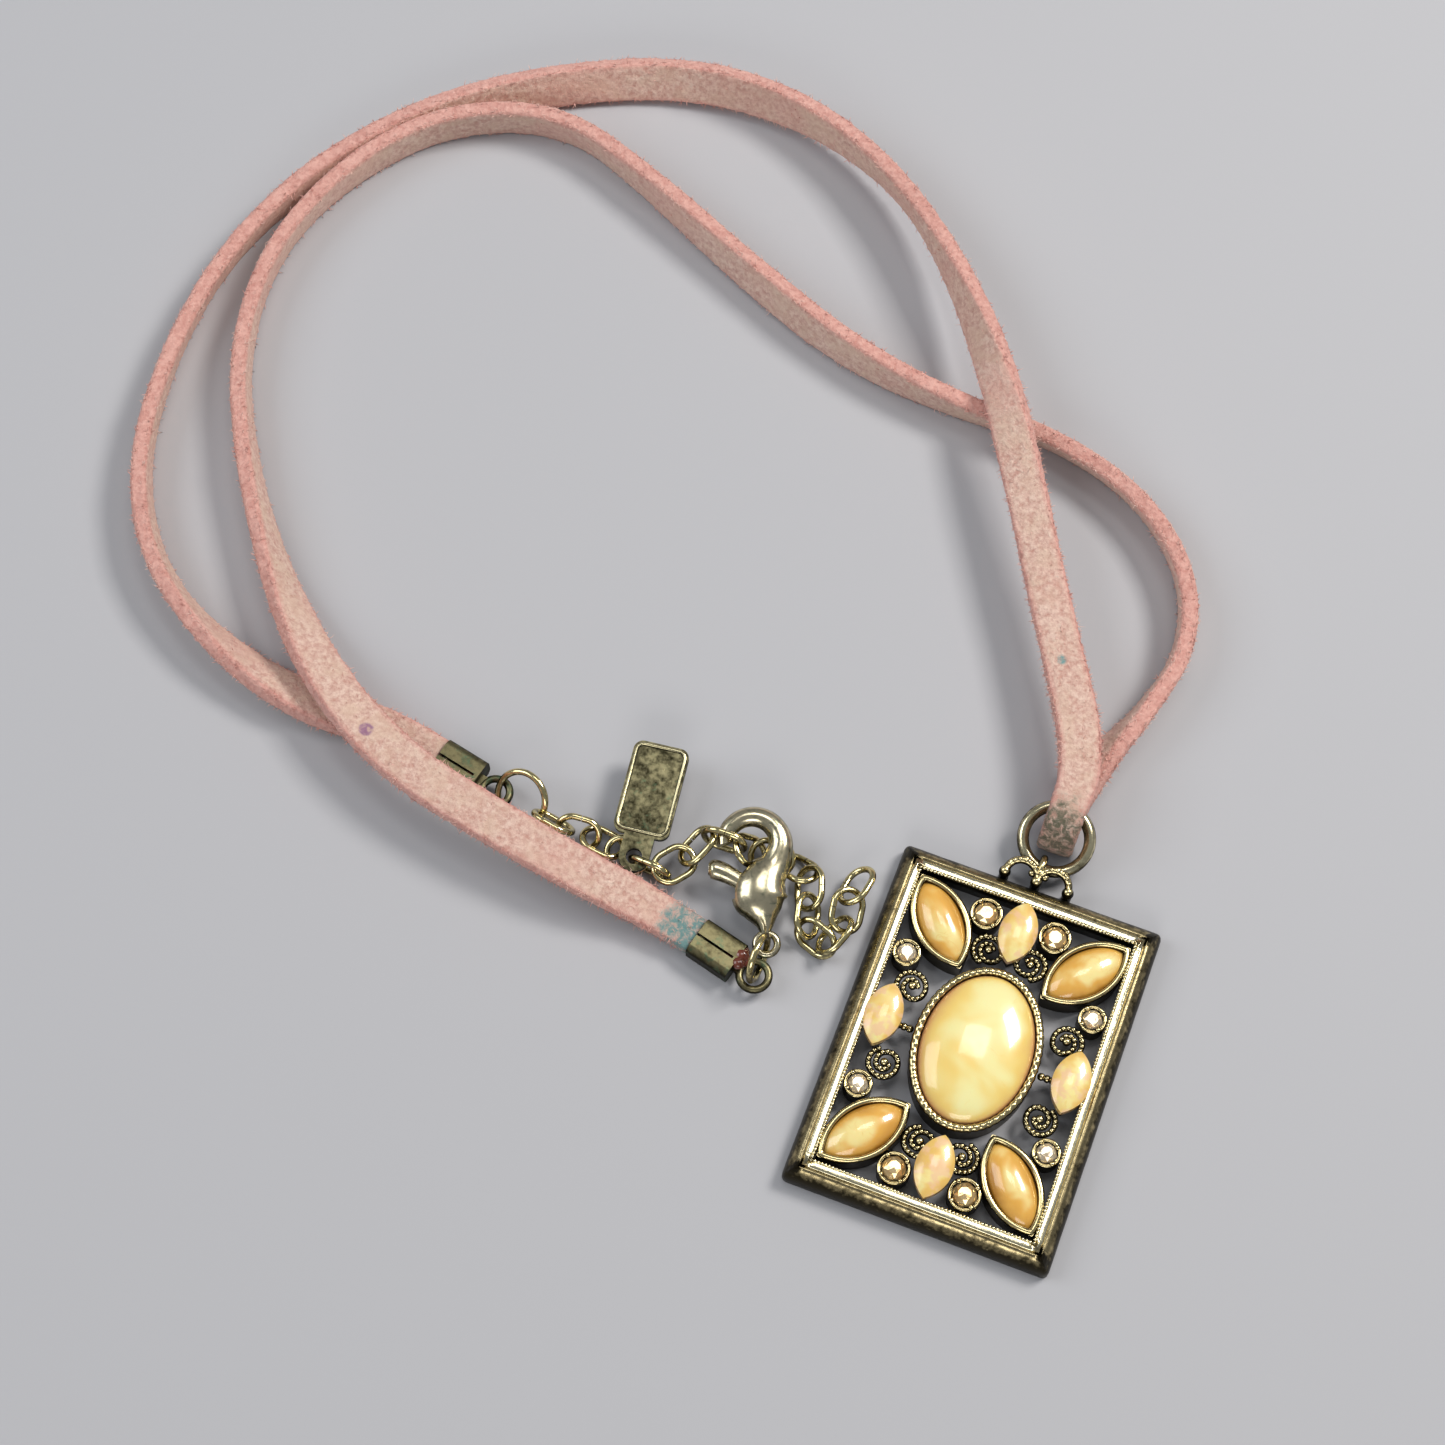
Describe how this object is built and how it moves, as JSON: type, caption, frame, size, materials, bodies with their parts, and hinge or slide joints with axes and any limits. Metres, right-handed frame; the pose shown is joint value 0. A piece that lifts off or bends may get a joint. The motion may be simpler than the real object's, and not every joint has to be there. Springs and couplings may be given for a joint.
{
  "type": "pendant necklace",
  "caption": "Rectangular stone-set filigree pendant on a folded suede lace, with fold-over cord ends, an oval link extender, a blank tag and a lobster clasp.",
  "frame": {"origin": "centre of the pendant frame's flat back, on the surface the necklace lies on", "axes": "+X across the pendant to the wearer's left, +Y from the pendant's centre towards its bail ring, +Z out of the pendant's front"},
  "size_m": [0.1109, 0.1052, 0.0067],
  "materials": {
    "antique_brass": "dark antique patina, bright on the high edges",
    "bright_brass": "bright polished wire",
    "pale_brass": "polished pale gold, tarnished in places",
    "spring_steel": "satin",
    "pink_suede": "napped suede, matt",
    "amber_resin": "pearly and polished",
    "peach_resin": "polished",
    "opal_resin": "opal with fine glitter",
    "champagne_glass": "faceted, foil backed",
    "brown_glue": "glossy dried adhesive"
  },
  "bodies": {
    "lace_and_cord_ends": {"suede_lace": "pink_suede", "cord_end_left": "antique_brass", "cord_end_right": "antique_brass", "glue_drops": "brown_glue"},
    "bail_ring": {"bail_ring": "pale_brass"},
    "pendant": {"pendant_frame": "antique_brass", "oval_bezel": "antique_brass", "oval_cabochon": "amber_resin", "corner_bezel_top_left": "antique_brass", "corner_bezel_top_right": "antique_brass", "corner_bezel_bottom_left": "antique_brass", "corner_bezel_bottom_right": "antique_brass", "corner_cabochon_top_left": "peach_resin", "corner_cabochon_top_right": "peach_resin", "corner_cabochon_bottom_left": "peach_resin", "corner_cabochon_bottom_right": "peach_resin", "navette_top": "opal_resin", "navette_bottom": "opal_resin", "navette_left": "opal_resin", "navette_right": "opal_resin", "navette_seats": "antique_brass", "large_rhinestone_cups": "antique_brass", "large_rhinestones": "champagne_glass", "small_rhinestone_cups": "antique_brass", "small_rhinestones": "champagne_glass", "end_scroll_top_left": "antique_brass", "end_scroll_top_right": "antique_brass", "end_scroll_bottom_left": "antique_brass", "end_scroll_bottom_right": "antique_brass", "side_scroll_top_left": "antique_brass", "side_scroll_top_right": "antique_brass", "side_scroll_bottom_left": "antique_brass", "side_scroll_bottom_right": "antique_brass", "bead_links": "antique_brass", "bail_crown": "antique_brass"},
    "jump_ring_clasp": {"jump_ring_clasp": "bright_brass"},
    "clasp": {"clasp_body": "pale_brass", "clasp_pin": "pale_brass", "clasp_spring": "spring_steel"},
    "clasp_lever": {"clasp_lever": "pale_brass"},
    "jump_ring_left": {"jump_ring_left": "bright_brass"},
    "blank_tag": {"blank_tag": "bright_brass"},
    "hooked_link": {"hooked_link": "bright_brass"},
    "end_link": {"end_link": "bright_brass"},
    "extender_link_1": {"extender_link_1": "bright_brass"},
    "extender_link_2": {"extender_link_2": "bright_brass"},
    "extender_link_3": {"extender_link_3": "bright_brass"},
    "extender_link_4": {"extender_link_4": "bright_brass"},
    "extender_link_5": {"extender_link_5": "bright_brass"},
    "extender_link_6": {"extender_link_6": "bright_brass"},
    "extender_link_7": {"extender_link_7": "bright_brass"},
    "tail_link_1": {"tail_link_1": "bright_brass"},
    "tail_link_2": {"tail_link_2": "bright_brass"},
    "tail_link_3": {"tail_link_3": "bright_brass"},
    "tail_link_4": {"tail_link_4": "bright_brass"},
    "tail_link_5": {"tail_link_5": "bright_brass"},
    "tail_link_6": {"tail_link_6": "bright_brass"},
    "tail_link_7": {"tail_link_7": "bright_brass"},
    "tail_link_8": {"tail_link_8": "bright_brass"}
  },
  "joints": [
    {"name": "bail_ring_swing", "type": "hinge", "parent": "lace_and_cord_ends", "child": "bail_ring", "pos_m": [0.0004, 0.0245, 0.003], "axis": [1, 0, 0], "range_deg": [-55, 30]},
    {"name": "pendant_swing", "type": "hinge", "parent": "bail_ring", "child": "pendant", "pos_m": [0, 0.0184, 0.0016], "axis": [1, 0, 0], "range_deg": [-45, 65]},
    {"name": "fastened_run_swing", "type": "hinge", "parent": "lace_and_cord_ends", "child": "jump_ring_clasp", "pos_m": [-0.02088, -0.00022, 0.0013], "axis": [0.9635, -0.2678, -0.0017], "range_deg": [0, 5]},
    {"name": "clasp_roll", "type": "hinge", "parent": "jump_ring_clasp", "child": "clasp", "pos_m": [-0.02085, 0.00287, 0.00155], "axis": [-0.37, 0.9158, 0.1564], "range_deg": [-1, 2]},
    {"name": "lever_press", "type": "hinge", "parent": "clasp", "child": "clasp_lever", "pos_m": [-0.0239, 0.00707, 0.00235], "axis": [0.0586, -0.145, 0.9877], "range_deg": [0, 28], "stiffness_Nm_per_rad": 0.002},
    {"name": "left_ring_roll", "type": "hinge", "parent": "jump_ring_clasp", "child": "jump_ring_left", "pos_m": [-0.04673, 0.0078, 0.00204], "axis": [0.9838, -0.1477, 0.1018], "range_deg": [-2, 14]},
    {"name": "extender_link_1_roll", "type": "hinge", "parent": "jump_ring_clasp", "child": "extender_link_1", "pos_m": [-0.04315, 0.00675, 0.00181], "axis": [0.9869, -0.1573, -0.0354], "range_deg": [-15, 15]},
    {"name": "extender_link_2_roll", "type": "hinge", "parent": "jump_ring_clasp", "child": "extender_link_2", "pos_m": [-0.04068, 0.00666, 0.00166], "axis": [0.9919, 0.0898, -0.0898], "range_deg": [-15, 15]},
    {"name": "extender_link_3_roll", "type": "hinge", "parent": "jump_ring_clasp", "child": "extender_link_3", "pos_m": [-0.03825, 0.00665, 0.00145], "axis": [0.992, -0.0972, -0.081], "range_deg": [-14, 8]},
    {"name": "extender_link_4_roll", "type": "hinge", "parent": "jump_ring_clasp", "child": "extender_link_4", "pos_m": [-0.03576, 0.00624, 0.00143], "axis": [0.9729, -0.2239, 0.0579], "range_deg": [-8, 2]},
    {"name": "extender_link_5_roll", "type": "hinge", "parent": "jump_ring_clasp", "child": "extender_link_5", "pos_m": [-0.03329, 0.0058, 0.00194], "axis": [0.9352, -0.1155, 0.3348], "range_deg": [-8, 6]},
    {"name": "extender_link_6_roll", "type": "hinge", "parent": "jump_ring_clasp", "child": "extender_link_6", "pos_m": [-0.03126, 0.00673, 0.00232], "axis": [0.6014, 0.7981, -0.0371], "range_deg": [-8, 12]},
    {"name": "extender_link_7_roll", "type": "hinge", "parent": "jump_ring_clasp", "child": "extender_link_7", "pos_m": [-0.02989, 0.00901, 0.00271], "axis": [0.3989, 0.8618, 0.3134], "range_deg": [-6, 5]},
    {"name": "hooked_link_roll", "type": "hinge", "parent": "jump_ring_clasp", "child": "hooked_link", "pos_m": [-0.02773, 0.01025, 0.00315], "axis": [0.9999, 0.0157, 0], "range_deg": [-8, 8]},
    {"name": "tail_link_1_roll", "type": "hinge", "parent": "jump_ring_clasp", "child": "tail_link_1", "pos_m": [-0.02523, 0.01044, 0.00219], "axis": [0.6059, 0.321, -0.7279], "range_deg": [-3, 2]},
    {"name": "tail_link_2_roll", "type": "hinge", "parent": "jump_ring_clasp", "child": "tail_link_2", "pos_m": [-0.02334, 0.01091, 0.00113], "axis": [0.9749, 0.0915, -0.2029], "range_deg": [-4, 6]},
    {"name": "tail_link_3_roll", "type": "hinge", "parent": "jump_ring_clasp", "child": "tail_link_3", "pos_m": [-0.02077, 0.0107, 0.00127], "axis": [0.9348, -0.2311, 0.2696], "range_deg": [-10, 8]},
    {"name": "tail_link_4_roll", "type": "hinge", "parent": "jump_ring_clasp", "child": "tail_link_4", "pos_m": [-0.01904, 0.0092, 0.00162], "axis": [0.3246, -0.9455, -0.0244], "range_deg": [-8, 12]},
    {"name": "tail_link_5_roll", "type": "hinge", "parent": "jump_ring_clasp", "child": "tail_link_5", "pos_m": [-0.01832, 0.00672, 0.00154], "axis": [0.2355, -0.9713, -0.0331], "range_deg": [-12, 6]},
    {"name": "tail_link_6_roll", "type": "hinge", "parent": "jump_ring_clasp", "child": "tail_link_6", "pos_m": [-0.0169, 0.00501, 0.00148], "axis": [0.942, -0.3355, -0.0129], "range_deg": [-6, 4]},
    {"name": "tail_link_7_roll", "type": "hinge", "parent": "jump_ring_clasp", "child": "tail_link_7", "pos_m": [-0.01537, 0.00579, 0.0017], "axis": [0.3496, 0.9193, 0.1807], "range_deg": [-5, 6]},
    {"name": "tail_link_8_roll", "type": "hinge", "parent": "jump_ring_clasp", "child": "tail_link_8", "pos_m": [-0.0151, 0.00822, 0.00215], "axis": [-0.1389, 0.9763, 0.1659], "range_deg": [-15, 15]},
    {"name": "end_link_roll", "type": "hinge", "parent": "jump_ring_clasp", "child": "end_link", "pos_m": [-0.01509, 0.01074, 0.00218], "axis": [0.1482, 0.9789, -0.1404], "range_deg": [-15, 15]},
    {"name": "tag_turn", "type": "hinge", "parent": "jump_ring_clasp", "child": "blank_tag", "pos_m": [-0.0349, 0.00605, 0.00245], "axis": [0, 0, 1], "range_deg": [-8, 20]}
  ]
}
